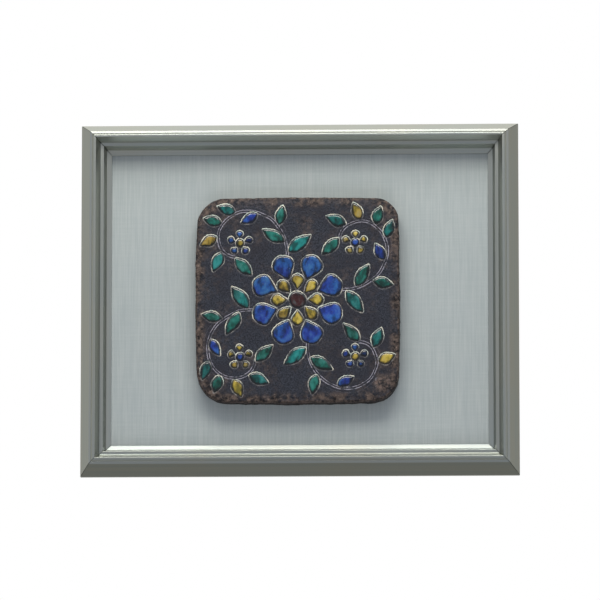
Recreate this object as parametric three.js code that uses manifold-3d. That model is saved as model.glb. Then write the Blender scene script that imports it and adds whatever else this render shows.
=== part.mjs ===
// A framed ceramic wall plaque: a hand-cut clay tile with incised lines and raised enamel, on a
// cloth-covered board, in a shadow-box frame of four mitred lengths of thin-walled metal moulding.
// Millimetres, +Z up, +Y into the wall. The origin is on the wall plane, at the middle of the top
// rail's back lip, so the plaque hangs down from it and faces -Y.
import * as THREE from "three";
import { mergeVertices } from "three/addons/utils/BufferGeometryUtils.js";
import Module from "manifold-3d";

const wasm = await Module();
wasm.setup();

// Board that shows between the tile and the frame
const MARGIN_BESIDE = 75.4;
const MARGIN_ABOVE = 37.2;

// Rail section: widths run inwards from the outer edge, heights run forwards from the wall
const RAIL_WALL = 2;
const SIDE_HEIGHT = 5;
const OUTER_SLOPE_WIDTH = 8.4;
const SHOULDER_WIDTH = 2.1;
const SHOULDER_RISE = 1;
const SCORE_WIDTH = 0.2;
const SCORE_DEPTH = 0.3;
const RIDGE_FLANK_WIDTH = 1.5;
const RIDGE_FLANK_RISE = 1.8;
const RIDGE_TOP_WIDTH = 1.8;
const INNER_FLANK_WIDTH = 3.7;
const INNER_FLANK_RISE = 9.7;
const SHELF_WIDTH = 2.8;
const STEP_WIDTH = 2.2;
const STEP_RISE = 10;
const BEAD_WIDTH = 0.6;
const LIP_SLOPE_WIDTH = 3.7;
const LIP_SLOPE_RISE = 2.2;
const LIP_EDGE = 1.3;
const BACK_LIP_WIDTH = 12;
const MITRE_GAP = 0.3;

// Mount board, held between the front lip and the back lip, which run round inside the rails
const BOARD_THICKNESS = 3.6;
const BOARD_FACE_GAP = 0.3;
const BOARD_EDGE_CLEARANCE = 1;

// Tile, set a little left of the middle of the board and below it
const TILE_WIDTH = 180.5;
const TILE_HEIGHT = 184;
const TILE_THICKNESS = 16;
const TILE_TO_BOARD_GAP = 0.3;
const TILE_SHIFT_LEFT = 1.5;
const TILE_SHIFT_DOWN = 2.6;
const RADIUS_TOP_RIGHT = 21;
const RADIUS_TOP_LEFT = 26;
const RADIUS_BOTTOM_LEFT = 29;
const RADIUS_BOTTOM_RIGHT = 25;
const SIDE_BOW = 1;
const FRONT_EDGE_DEPTH = 4;
const FRONT_EDGE_INSET = 2.6;
const SHOULDER_SHARE = 1 / 3;
const BACK_EDGE_CHAMFER = 1.5;

// Enamel cells, each a raised field inside a V groove, and incised lines
const GROOVE_WIDTH = 0.9;
const GROOVE_DEPTH = 0.8;
const ENAMEL_SLOPE = 1.2;
const ENAMEL_RISE = 0.5;
const LINE_WIDTH = 1.6;
const LINE_DEPTH = 0.8;
const STROKE_WIDTH = 0.9;
const STROKE_DEPTH = 0.5;

// The drawing, a common scrolling flower vine, in hundredths of the tile's shorter side, x to the
// right and z up from the tile's middle
const HEART_RADIUS = 4;
const INNER_PETALS = { count: 8, start: 5.2, length: 7.4, width: 5.4, turn: 0 };
const OUTER_PETALS = { count: 8, start: 11, length: 12, width: 10.6, turn: 22.5 };
const SCROLL = { away: 39.6, radius: 25.8, from: 238, sweep: 290, tightening: 0.25 };
const BUD_RADIUS = 1.9;
const BUD_PETALS = { count: 5, start: 2.7, length: 3.3, width: 3.1, turn: 18 };
const SCROLL_LEAVES = [
  { share: 0.07, side: -1, lean: 55, length: 13, width: 6 },
  { share: 0.19, side: -1, lean: 50, length: 9.6, width: 5 },
  { share: 0.11, side: 1, lean: 46, length: 12, width: 5.6 },
  { share: 0.31, side: 1, lean: 48, length: 8.6, width: 4.6 },
  { share: 0.44, side: -1, lean: 40, length: 9, width: 4.8, inCorner: true },
  { share: 0.56, side: -1, lean: 70, length: 8.6, width: 5, inCorner: true },
  { share: 0.67, side: -1, lean: 60, length: 8.6, width: 5 },
  { share: 0.81, side: -1, lean: 60, length: 10, width: 5.4 },
  { share: 0.97, side: -1, lean: 40, length: 11, width: 5.4 },
];
const LEAF_STANDOFF = 1.1;
const ROUND_TIP = { belly: 1.5, fullness: 0.62 };
const SHARP_TIP = { belly: 0.85, fullness: 0.9 };

// Rows of plain strokes in the lower right corner, in the same unit
const STROKES_MIDDLE = 41.2;
const STROKE_ROWS = 3;
const STROKES_PER_ROW = 4;
const STROKE_LENGTH = 1.5;
const STROKE_PITCH = 1.9;

const metal = new THREE.MeshStandardMaterial({ color: 0x9a9c96, roughness: 0.35, metalness: 1 });
const cloth = new THREE.MeshStandardMaterial({ color: 0xa8b2b1, roughness: 0.9, metalness: 0 });
const clay = new THREE.MeshStandardMaterial({ color: 0x383b43, roughness: 0.6, metalness: 0 });

// Widths and heights where the rail's section turns, from the outer edge inwards
const shoulderEnd = OUTER_SLOPE_WIDTH + SHOULDER_WIDTH;
const scoreEnd = shoulderEnd + SCORE_WIDTH;
const ridgeStart = scoreEnd + RIDGE_FLANK_WIDTH;
const ridgeEnd = ridgeStart + RIDGE_TOP_WIDTH;
const shelfStart = ridgeEnd + INNER_FLANK_WIDTH;
const shelfEnd = shelfStart + SHELF_WIDTH;
const beadStart = shelfEnd + STEP_WIDTH;
const beadEnd = beadStart + BEAD_WIDTH;
const railWidth = beadEnd + LIP_SLOPE_WIDTH;
const boardBack = RAIL_WALL + BOARD_FACE_GAP;
const boardFront = boardBack + BOARD_THICKNESS;
const lipBack = boardFront + BOARD_FACE_GAP;
const beadHeight = lipBack + LIP_EDGE + LIP_SLOPE_RISE;
const shelfHeight = beadHeight + STEP_RISE;
const ridgeHeight = shelfHeight + INNER_FLANK_RISE;
const scoreHeight = ridgeHeight - RIDGE_FLANK_RISE;
const shoulderHeight = scoreHeight + SCORE_DEPTH;
const slopeHeight = shoulderHeight - SHOULDER_RISE;

const tileBack = boardFront + TILE_TO_BOARD_GAP;
const tileFront = tileBack + TILE_THICKNESS;
const frameWidth = TILE_WIDTH + 2 * (MARGIN_BESIDE + railWidth);
const frameHeight = TILE_HEIGHT + 2 * (MARGIN_ABOVE + railWidth);
const drawingUnit = Math.min(TILE_WIDTH, TILE_HEIGHT) / 100;

const { degToRad, radToDeg, lerp } = THREE.MathUtils;
const TURN = 360;
const QUARTER = TURN / 4;
const CORNERS = [0, 1, 2, 3];
const STROKES_CORNER = 3;
const ARC_STEPS = 6;
const SIDE_STEPS = 4;
const PETAL_STEPS = 6;
const DISC_STEPS = 14;
const SCROLL_STEPS = 22;
const SAME_POINT = 1e-4;

// A closed geometry through rings of [x, y, z] points, which turn counterclockwise as seen from
// past the last ring. Its two ends are filled, triangulated by their flat outlines.
function loft(rings, firstEnd, lastEnd = firstEnd) {
  const count = rings[0].length;
  const lastRing = (rings.length - 1) * count;
  const index = [];
  for (let start = 0; start < lastRing; start += count)
    for (let i = 0; i < count; i++) {
      const here = start + i;
      const next = start + ((i + 1) % count);
      index.push(here, next, next + count, here, next + count, here + count);
    }
  const fill = (flat) => {
    const contour = flat.map(([x, y]) => new THREE.Vector2(x, y));
    return THREE.ShapeUtils.triangulateShape(contour, []);
  };
  for (const [a, b, c] of fill(firstEnd)) index.push(c, b, a);
  for (const [a, b, c] of fill(lastEnd)) index.push(lastRing + a, lastRing + b, lastRing + c);
  const geometry = new THREE.BufferGeometry();
  geometry.setAttribute("position", new THREE.Float32BufferAttribute(rings.flat(2), 3));
  geometry.setIndex(index);
  return geometry;
}

// A solid on the tile's plane: outlines of [x, z] points, each at its height off the wall.
function layered(layers) {
  const rings = layers.map(([outline, height]) => outline.map(([x, z]) => [x, -height, z]));
  return solidOf(loft(rings, layers[0][0], layers.at(-1)[0]));
}

function solidOf(geometry) {
  const plain = geometry.clone();
  plain.deleteAttribute("normal");
  plain.deleteAttribute("uv");
  const merged = mergeVertices(plain, SAME_POINT);
  return new wasm.Manifold(
    new wasm.Mesh({
      numProp: 3,
      vertProperties: merged.attributes.position.array,
      triVerts: new Uint32Array(merged.index.array),
    }),
  );
}

// A flat-shaded mesh of that name.
function named(name, geometry, material) {
  const faceted = geometry.toNonIndexed();
  faceted.computeVertexNormals();
  const mesh = new THREE.Mesh(faceted, material);
  mesh.name = name;
  return mesh;
}

// Width, at a height, of the inside of the rail's outer slope.
function innerSlopeAt(height) {
  return RAIL_WALL + ((height - SIDE_HEIGHT) / (slopeHeight - SIDE_HEIGHT)) * OUTER_SLOPE_WIDTH;
}

// The rail's section as [width, height] points: the front skin from the back outer corner to the
// front lip, the inner skin back to the outer wall, then the back lip.
function railSection() {
  return [
    [0, 0],
    [0, SIDE_HEIGHT],
    [OUTER_SLOPE_WIDTH, slopeHeight],
    [shoulderEnd, shoulderHeight],
    [scoreEnd, scoreHeight],
    [ridgeStart, ridgeHeight],
    [ridgeEnd, ridgeHeight],
    [shelfStart, shelfHeight],
    [shelfEnd, shelfHeight],
    [beadStart, beadHeight],
    [beadEnd, beadHeight],
    [railWidth, lipBack + LIP_EDGE],
    [railWidth, lipBack],
    [beadStart - RAIL_WALL, lipBack],
    [beadStart - RAIL_WALL, beadHeight - RAIL_WALL],
    [shelfEnd - RAIL_WALL, shelfHeight - RAIL_WALL],
    [shelfStart - RAIL_WALL, shelfHeight - RAIL_WALL],
    [ridgeEnd - RAIL_WALL, ridgeHeight - RAIL_WALL],
    [innerSlopeAt(slopeHeight - RAIL_WALL), slopeHeight - RAIL_WALL],
    [RAIL_WALL, SIDE_HEIGHT],
    [RAIL_WALL, RAIL_WALL],
    [BACK_LIP_WIDTH, RAIL_WALL],
    [BACK_LIP_WIDTH, 0],
  ];
}

// One mitred rail. It is made along X with its outer edge up, then turned to its side of the frame.
function rail(name, length, distance, turn) {
  const section = railSection();
  const cutBack = MITRE_GAP / Math.SQRT2;
  const end = (side) =>
    section.map(([width, height]) => [side * (length / 2 - width - cutBack), -height, -width]);
  const flat = section.map(([width, height]) => [-height, -width]);
  const mesh = named(name, loft([end(-1), end(1)], flat), metal);
  mesh.position.z = distance;
  const side = new THREE.Group();
  side.rotation.y = degToRad(turn);
  side.add(mesh);
  return side;
}

function frame() {
  const group = new THREE.Group();
  group.add(rail("frame_rail_top", frameWidth, frameHeight / 2, 0));
  group.add(rail("frame_rail_right", frameHeight, frameWidth / 2, QUARTER));
  group.add(rail("frame_rail_bottom", frameWidth, frameHeight / 2, 2 * QUARTER));
  group.add(rail("frame_rail_left", frameHeight, frameWidth / 2, 3 * QUARTER));
  return group;
}

function board() {
  const inset = 2 * (innerSlopeAt(boardFront) + BOARD_EDGE_CLEARANCE);
  const slab = new THREE.BoxGeometry(frameWidth - inset, BOARD_THICKNESS, frameHeight - inset);
  const mesh = named("cloth_covered_board", slab, cloth);
  mesh.position.y = -(boardBack + BOARD_THICKNESS / 2);
  return mesh;
}

// The tile's outline, grown by `grow`: four corner arcs, joined by slightly bowed sides.
function tileOutline(grow) {
  const corners = [
    [1, 1, RADIUS_TOP_RIGHT],
    [-1, 1, RADIUS_TOP_LEFT],
    [-1, -1, RADIUS_BOTTOM_LEFT],
    [1, -1, RADIUS_BOTTOM_RIGHT],
  ];
  const arcs = corners.map(([sideX, sideZ, radius], corner) => {
    const x = sideX * (TILE_WIDTH / 2 - SIDE_BOW - radius);
    const z = sideZ * (TILE_HEIGHT / 2 - SIDE_BOW - radius);
    return Array.from({ length: ARC_STEPS + 1 }, (_, i) => {
      const turn = degToRad((corner + i / ARC_STEPS) * QUARTER);
      return [x + (radius + grow) * Math.cos(turn), z + (radius + grow) * Math.sin(turn)];
    });
  });
  return arcs.flatMap((arc, corner) => {
    const from = arc.at(-1);
    const to = arcs[(corner + 1) % arcs.length][0];
    const outwards = degToRad((corner + 1) * QUARTER);
    const side = Array.from({ length: SIDE_STEPS - 1 }, (_, i) => {
      const share = (i + 1) / SIDE_STEPS;
      const bow = SIDE_BOW * Math.sin(Math.PI * share);
      return [
        lerp(from[0], to[0], share) + bow * Math.cos(outwards),
        lerp(from[1], to[1], share) + bow * Math.sin(outwards),
      ];
    });
    return [...arc, ...side];
  });
}

// A point at a distance and a direction from another one, in the drawing.
function offset([x, z], distance, degrees) {
  return [x + distance * Math.cos(degToRad(degrees)), z + distance * Math.sin(degToRad(degrees))];
}

// A cell is a function that gives its outline in millimetres, grown all round by `grow`. A petal
// runs from its root in one direction. A high belly moves its widest place out towards the tip, and
// a low fullness rounds its ends.
function petal({ root, direction, length, width, belly, fullness }) {
  return (grow) => {
    const long = length * drawingUnit + 2 * grow;
    const half = (width * drawingUnit) / 2 + grow;
    const start = root.map((value) => value * drawingUnit);
    const at = (step, side) => {
      const share = (1 - Math.cos((Math.PI * step) / PETAL_STEPS)) / 2;
      const across = half * Math.sin(Math.PI * share ** belly) ** fullness;
      return offset(offset(start, share * long - grow, direction), across, direction + side * QUARTER);
    };
    const right = Array.from({ length: PETAL_STEPS }, (_, i) => at(i, -1));
    const left = Array.from({ length: PETAL_STEPS }, (_, i) => at(PETAL_STEPS - i, 1));
    return [...right, ...left];
  };
}

function disc(middle, radius) {
  const centre = middle.map((value) => value * drawingUnit);
  return (grow) =>
    Array.from({ length: DISC_STEPS }, (_, i) =>
      offset(centre, radius * drawingUnit + grow, (TURN * i) / DISC_STEPS),
    );
}

function petalRing(middle, { count, start, length, width, turn }) {
  return Array.from({ length: count }, (_, i) => {
    const direction = turn + (TURN * i) / count;
    return petal({ root: offset(middle, start, direction), direction, length, width, ...ROUND_TIP });
  });
}

function scrollEye(quarter) {
  return offset([0, 0], SCROLL.away, (quarter + 1 / 2) * QUARTER);
}

// A place on a corner's scroll, by its share of the sweep, and the stem's heading there. The scroll
// tightens round its eye.
function scrollPlace(quarter, share) {
  const turned = share * SCROLL.sweep;
  const bearing = SCROLL.from + turned + quarter * QUARTER;
  const reach = SCROLL.radius * Math.exp(-SCROLL.tightening * degToRad(turned));
  const heading = bearing + QUARTER + radToDeg(Math.atan(SCROLL.tightening));
  return { point: offset(scrollEye(quarter), reach, bearing), heading };
}

// A small flower in the scroll's eye, and the leaves along its stem.
function scrollCells(quarter) {
  const eye = scrollEye(quarter);
  const kept = SCROLL_LEAVES.filter(({ inCorner }) => !(inCorner && quarter === STROKES_CORNER));
  const leaves = kept.map(({ share, side, lean, length, width }) => {
    const { point, heading } = scrollPlace(quarter, share);
    const direction = heading + side * lean;
    return petal({ root: offset(point, LEAF_STANDOFF, direction), direction, length, width, ...SHARP_TIP });
  });
  return [disc(eye, BUD_RADIUS), ...petalRing(eye, BUD_PETALS), ...leaves];
}

// A V groove along a corner's scroll, as a solid to cut away.
function scrollGroove(quarter) {
  const half = LINE_WIDTH / 2;
  const section = [
    [-half, tileFront + LINE_DEPTH],
    [-half, tileFront],
    [0, tileFront - LINE_DEPTH],
    [half, tileFront],
    [half, tileFront + LINE_DEPTH],
  ];
  const rings = Array.from({ length: SCROLL_STEPS + 1 }, (_, i) => {
    const { point, heading } = scrollPlace(quarter, i / SCROLL_STEPS);
    const middle = point.map((value) => value * drawingUnit);
    return section.map(([across, height]) => {
      const [x, z] = offset(middle, across, heading + QUARTER);
      return [x, -height, z];
    });
  });
  return solidOf(loft(rings, section));
}

function cellGroove(cell) {
  return layered([
    [cell(0), tileFront - GROOVE_DEPTH],
    [cell(GROOVE_WIDTH), tileFront],
    [cell(GROOVE_WIDTH), tileFront + GROOVE_DEPTH],
  ]);
}

function cellField(cell) {
  return layered([
    [cell(0), tileFront - 2 * GROOVE_DEPTH],
    [cell(0), tileFront - GROOVE_DEPTH],
    [cell(-ENAMEL_SLOPE), tileFront + ENAMEL_RISE],
  ]);
}

// Strokes that stand and lie by turns, as solids to cut away.
function strokes() {
  const cuts = [];
  const centred = (i, count) => (i - (count - 1) / 2) * STROKE_PITCH;
  for (let row = 0; row < STROKE_ROWS; row++)
    for (let i = 0; i < STROKES_PER_ROW; i++) {
      const length = STROKE_LENGTH * drawingUnit;
      const stands = (row + i) % 2 === 0;
      const [wide, high] = stands ? [STROKE_WIDTH, length] : [length, STROKE_WIDTH];
      const stroke = new THREE.BoxGeometry(wide, 2 * STROKE_DEPTH, high);
      const x = (STROKES_MIDDLE + centred(i, STROKES_PER_ROW)) * drawingUnit;
      const z = -(STROKES_MIDDLE + centred(row, STROKE_ROWS)) * drawingUnit;
      cuts.push(solidOf(stroke.translate(x, -tileFront, z)));
    }
  return cuts;
}

function tile() {
  const slab = layered([
    [tileOutline(-BACK_EDGE_CHAMFER), tileBack],
    [tileOutline(0), tileBack + BACK_EDGE_CHAMFER],
    [tileOutline(0), tileFront - FRONT_EDGE_DEPTH],
    [tileOutline(-FRONT_EDGE_INSET * SHOULDER_SHARE), tileFront - FRONT_EDGE_DEPTH * SHOULDER_SHARE],
    [tileOutline(-FRONT_EDGE_INSET), tileFront],
  ]);
  const cells = [
    disc([0, 0], HEART_RADIUS),
    ...petalRing([0, 0], INNER_PETALS),
    ...petalRing([0, 0], OUTER_PETALS),
    ...CORNERS.flatMap(scrollCells),
  ];
  const cuts = [...CORNERS.map(scrollGroove), ...cells.map(cellGroove), ...strokes()];
  const carved = slab.subtract(wasm.Manifold.union(cuts)).add(wasm.Manifold.union(cells.map(cellField)));
  const made = carved.getMesh();
  const geometry = new THREE.BufferGeometry();
  geometry.setAttribute("position", new THREE.BufferAttribute(made.vertProperties, 3));
  geometry.setIndex(new THREE.BufferAttribute(made.triVerts, 1));
  const mesh = named("ceramic_tile", geometry, clay);
  mesh.position.set(-TILE_SHIFT_LEFT, 0, -TILE_SHIFT_DOWN);
  return mesh;
}

const plaque = new THREE.Group();
plaque.position.z = (BACK_LIP_WIDTH - frameHeight) / 2;
plaque.add(frame(), board(), tile());

export default plaque;
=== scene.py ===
import math

import bpy
import numpy as np
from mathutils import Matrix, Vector, noise


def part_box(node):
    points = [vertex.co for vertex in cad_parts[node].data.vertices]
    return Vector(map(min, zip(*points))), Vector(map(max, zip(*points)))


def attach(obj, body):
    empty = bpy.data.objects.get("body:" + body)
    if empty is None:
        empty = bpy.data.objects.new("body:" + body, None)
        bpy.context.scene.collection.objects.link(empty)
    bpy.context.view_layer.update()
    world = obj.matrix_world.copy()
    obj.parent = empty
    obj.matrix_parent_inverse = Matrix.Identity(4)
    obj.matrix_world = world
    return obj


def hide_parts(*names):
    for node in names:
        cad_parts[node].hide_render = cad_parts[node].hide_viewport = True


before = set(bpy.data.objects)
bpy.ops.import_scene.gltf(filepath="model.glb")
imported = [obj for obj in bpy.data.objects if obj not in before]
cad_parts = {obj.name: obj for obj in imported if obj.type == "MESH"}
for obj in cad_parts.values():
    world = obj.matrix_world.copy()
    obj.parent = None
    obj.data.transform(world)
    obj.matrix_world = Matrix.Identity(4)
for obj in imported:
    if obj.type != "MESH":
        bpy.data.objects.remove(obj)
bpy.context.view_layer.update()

MM = 0.001

# The photograph's view. The picture is 600 by 600 pixels, and its width takes in PICTURE_WIDTH.
VIEW_AZIMUTH = 2
VIEW_ELEVATION = -9
CAMERA_DISTANCE = 6
PICTURE_WIDTH = 0.528
AIM = Vector((0, 0, -0.1497))

FLOOR_LEVEL = -1.4
FLOOR_RADIUS = 3
FLOOR_SIDES = 96

# Each softbox's place, aim, width, height, power and tint, and whether gloss and metal show it
SOFTBOXES = {
    "key": ((-0.06, -0.68, 0.6), (0, 0, -0.15), 0.9, 0.28, 6.4, (1, 0.98, 0.9), True),
    "fill": ((0, -1.1, -1.1), (0, 0, -0.15), 1.6, 0.6, 5.6, (0.94, 0.95, 1.02), False),
    "upper": ((0, -0.5, 0.75), (0, 0, -0.1), 0.8, 0.3, 3.6, (1, 0.98, 0.94), False),
}

# Metal rails
EDGE_ROUNDING_MM = 0.28
EDGE_SHARE = 0.3
EDGE_STEPS = 3
MITRE_ROUNDING_MM = 0.14
MITRE_STEPS = 3
MITRE_FACING = 0.5
WALL_STEEPNESS = 2.4
HAIRLINE_STRETCH = 0.003
HAIRLINE_SCALE = 1500
METAL_BAND_SCALE = 420
METAL_PATCH_SCALE = 16
SHARP_OVER_DEGREES = 40

# Cloth-covered board
CLOTH_EDGE_RADIUS_MM = 0.9
CLOTH_EDGE_STEPS = 4
HEM_WIDTH_MM = 16
HEM_STEP_MM = 0.25
BOARD_GRID = 24
THREADS_PER_METRE = 9600
THREAD_SCALE, THREAD_STRETCH = 900, 0.03
SLUB_SCALE, SLUB_STRETCH = 300, 0.02
CLOTH_PATCH_SCALE = 22
PAPER_FIBRE_SCALE = 700
PAPER_STAIN_SCALE = 12
CLOTH_WAVE_MM = 0.08
CLOTH_WAVE_LENGTH = 0.04

# Tile, as in the solid, with finer steps
TILE_CORNERS = [(1, 1, 21), (-1, 1, 26), (-1, -1, 29), (1, -1, 25)]
SIDE_BOW_MM = 1
ENAMEL_RISE_MM = 0.5
FRONT_EDGE_DEPTH_MM = 4
FRONT_EDGE_INSET_MM = 2.6
BACK_EDGE_CHAMFER_MM = 1.5
TILE_GRID = 140
GRID_STRAIGHT_SHARE = 0.45
RUN_STEPS = 40
EDGE_RINGS = 6
SIDE_RINGS = 5
QUARTER = 90

# How the tile is cut, glazed and worn. Each wave is a height, a width and a seed. Places are distances
# from the enamel's edge or from an incised line.
CUT_WAVES = ((0.6, 24, 3), (0.25, 7, 5))
CUT_BACK_MM = 0.25
WOBBLE_MM = 0.7
WOBBLE_WIDTH_MM = 11
WOBBLE_SEEDS = (11, 17)
GROUND_WAVES = ((0.22, 26, 21), (0.13, 7, 23), (0.08, 2.2, 25))
ENAMEL_WAVES = ((0.16, 5, 27), (0.05, 1.6, 29))
ENAMEL_SUNK_MM = 0.05
ENAMEL_STEP_MM, ENAMEL_STEP_WIDTH_MM = 0.3, 0.5
ENAMEL_DOME_MM, ENAMEL_DOME_WIDTH_MM = 0.65, 2.6
ENAMEL_WAVES_START_MM = 2
GROOVE_DEPTH_MM, GROOVE_REACH_MM = 0.5, 0.7
BURR_HEIGHT_MM, BURR_REACH_MM, BURR_PLACE_MM = 0.16, 0.8, 1.8
SCRATCH_DEPTH_MM, SCRATCH_REACH_MM = 0.55, 0.5
BANK_HEIGHT_MM, BANK_REACH_MM, BANK_BESIDE_MM = 0.18, 0.6, 0.75
LINES_STOP_MM = 0.5
# The pale slip shows more, and brighter, on edges that face up: this is a painted highlight.
PALE_WAVES = ((0.6, 10, 51),)
PALE_LEVEL, UPWARD_PAINTED_HIGHLIGHT, PALE_LEAST = 0.4, 0.4, 0.05
BROWN_WAVES = ((0.7, 16, 53), (0.3, 4, 55))
BROWN_CORNER_START, BROWN_CORNER_WIDTH, BROWN_CORNER_SHARE = 1.15, 50, 0.5
STROKES_BROWN_REACH, STROKES_BROWN_END = 2.4, 1.4

# The rim is rough from ROUGH_START on, as a share of the way out from the tile's middle.
ROUGH_START, ROUGH_WIDTH = 0.9, 0.08
ROUGH_WAVES = ((0.35, 5, 31), (0.3, 1.8, 33))
EDGE_DROP_MM, EDGE_DROP_START = 0.5, 0.955
BARK_WAVE_MM, BARK_WIDTH_MM, BARK_SEED = 0.45, 6, 41
BARK_SHIFT_MM = (3, -2)
BARK_BACK_MM = 0.35
GRIT_MM, GRIT_WIDTH_MM, GRIT_FIRST_SEED = 0.25, 1.6, 43

# The tile's colours and fine relief. A fade is the two places between which something fades in.
CLAY_SPECK_SCALE = 850
CLAY_MOTTLE_SCALE = 240
CLAY_PATCH_SCALE = 60
CLAY_FLECK_SCALE = 520
CLAY_GRAIN_SCALE = 420
LINE_RAGGED_SCALE = 500
LINE_BREAK_SCALE = 240
OUTLINE_FADE_MM = (0.5, 0.25)
SCRATCH_FADE_MM = (0.42, 0.2)
ENAMEL_RAGGED_SCALE = 700
ENAMEL_FADE_MM = (-0.35, -0.1)
GLAZE_RIM_FADE_MM = (0.3, 2.1)
GLAZE_PATCH_SCALE = 70
GLAZE_SPECK_SCALE = 800
GLAZE_STREAKS_ACROSS, GLAZE_STREAKS_UP, GLAZE_STREAKS_INWARDS = 190, 110, 0.15

# The drawing, as in the solid, in hundredths of the tile's shorter side. A ring of petals is count,
# start, length, width and turn, and a leaf is share, side, lean, length, width, glaze and whether
# it would lie in the strokes' corner.
DRAWING_SPAN = 100
HEART_RADIUS = 4
INNER_PETALS = (8, 5.2, 7.4, 5.4, 0)
OUTER_PETALS = (8, 11, 12, 10.6, 22.5)
SCROLL = {"away": 39.6, "radius": 25.8, "from": 238, "sweep": 290, "tightening": 0.25}
BUD_RADIUS = 1.9
BUD_PETALS = (5, 2.7, 3.3, 3.1, 18)
SCROLL_LEAVES = (
    (0.07, -1, 55, 13, 6, "teal", False),
    (0.19, -1, 50, 9.6, 5, "green", False),
    (0.11, 1, 46, 12, 5.6, "green", False),
    (0.31, 1, 48, 8.6, 4.6, "blue", False),
    (0.44, -1, 40, 9, 4.8, "teal", True),
    (0.56, -1, 70, 8.6, 5, "green", True),
    (0.67, -1, 60, 8.6, 5, "yellow", False),
    (0.81, -1, 60, 10, 5.4, "teal", False),
    (0.97, -1, 40, 11, 5.4, "green", False),
)
LEAF_STANDOFF = 1.1
ROUND_TIP = (1.5, 0.62)
SHARP_TIP = (0.85, 0.9)
STROKES_CORNER = 3
STROKES_MIDDLE = 41.2
STROKE_ROWS = 3
STROKES_PER_ROW = 4
STROKE_LENGTH = 1.5
STROKE_PITCH = 1.9
STROKE_FINENESS = 2.2
PETAL_STEPS = 16
DISC_STEPS = 40
SCROLL_STEPS = 90
FIELD_REACH_MM = 4
SCRATCH_PLACE_MM = 1
OUTLINE_PLACE_MM = 0.75
BUD_GLAZES = (("yellow", "blue"), ("blue", "yellow"))
SHADE_SEED = 7
SHADE_RANGE = (0.75, 1.15)


def unit_step(value):
    """0 below 0 and 1 above 1, with a smooth way between."""
    share = np.clip(value, 0, 1)
    return share * share * (3 - 2 * share)


class Nodes:
    """Adds shader nodes to a material or world. An input given as a socket is linked, any other is set."""

    def __init__(self, owner):
        owner.use_nodes = True
        self.tree = owner.node_tree
        self.tree.nodes.clear()

    def add(self, kind, inputs=None, **settings):
        node = self.tree.nodes.new("ShaderNode" + kind)
        for name, value in settings.items():
            setattr(node, name, value)
        for name, value in (inputs or {}).items():
            if isinstance(value, bpy.types.NodeSocket):
                self.tree.links.new(value, node.inputs[name])
            else:
                node.inputs[name].default_value = value
        return node

    def math(self, operation, *values):
        node = self.add("Math", dict(enumerate(values)), operation=operation)
        return node.outputs[0]

    def smooth(self, value, low, high, out_low=0.0, out_high=1.0):
        """Goes smoothly from out_low to out_high while value goes from low to high."""
        inputs = {0: value, 1: low, 2: high, 3: out_low, 4: out_high}
        return self.add("MapRange", inputs, interpolation_type="SMOOTHSTEP").outputs[0]

    def mix(self, share, first, second, blend="MIX"):
        node = self.add("Mix", {0: share, 6: first, 7: second}, data_type="RGBA", blend_type=blend)
        return node.outputs[2]

    def noise(self, place, scale, detail=2.0, roughness=0.5, stretch=(1, 1, 1)):
        """Noise between 0 and 1, scale features to the metre."""
        scaled = self.add("Mapping", {"Vector": place, "Scale": [scale * s for s in stretch]})
        inputs = {"Vector": scaled.outputs[0], "Scale": 1.0, "Detail": detail, "Roughness": roughness}
        return self.add("TexNoise", inputs).outputs[0]

    def attribute(self, name, output="Fac"):
        return self.add("Attribute", attribute_name=name).outputs[output]

    def surface(self, **inputs):
        """The material's shader, with its sockets' names written with _ for a space."""
        named = {name.replace("_", " "): value for name, value in inputs.items()}
        shader = self.add("BsdfPrincipled", named)
        self.add("OutputMaterial", {"Surface": shader.outputs[0]})


def colour(red, green, blue):
    """A colour given as it looks, 0 to 255, as linear values."""
    values = [c / 255 for c in (red, green, blue)]
    return [c / 12.92 if c <= 0.04045 else ((c + 0.055) / 1.055) ** 2.4 for c in values] + [1]


# Each glaze's main colour, and that of the patches in it
GLAZES = {
    "teal": (colour(18, 112, 108), colour(10, 70, 66)),
    "green": (colour(14, 80, 68), colour(30, 124, 110)),
    "blue": (colour(28, 54, 138), colour(28, 86, 148)),
    "yellow": (colour(180, 158, 58), colour(134, 106, 42)),
    "heart": (colour(58, 20, 20), colour(24, 10, 12)),
}


def place_piece(name, points, faces, material, node):
    """A mesh piece in metres, which rides on the only body and stands for a CAD node."""
    mesh = bpy.data.meshes.new(name)
    mesh.from_pydata(points, [], faces)
    mesh.materials.append(material)
    piece = bpy.data.objects.new(name, mesh)
    bpy.context.scene.collection.objects.link(piece)
    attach(piece, "root")
    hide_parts(node)
    return piece


def smooth_shading(piece, sharp_over):
    """Smooth shading that stays flat on wide faces, and is broken at edges sharper than that angle."""
    piece.data.shade_smooth()
    piece.data.set_sharp_from_angle(angle=math.radians(sharp_over))
    weighted = piece.modifiers.new("weighted normals", "WEIGHTED_NORMAL")
    weighted.keep_sharp = True


# Camera, lights and floor
def make_camera():
    azimuth, elevation = math.radians(VIEW_AZIMUTH), math.radians(VIEW_ELEVATION)
    level = math.cos(elevation)
    back = Vector((math.sin(azimuth) * level, -math.cos(azimuth) * level, math.sin(elevation)))
    data = bpy.data.cameras.new("camera")
    data.lens = data.sensor_width * CAMERA_DISTANCE / PICTURE_WIDTH
    camera = bpy.data.objects.new("camera", data)
    camera.location = AIM + back * CAMERA_DISTANCE
    camera.rotation_mode = "QUATERNION"
    camera.rotation_quaternion = (-back).to_track_quat("-Z", "Y")
    bpy.context.scene.collection.objects.link(camera)
    bpy.context.scene.camera = camera


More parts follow.
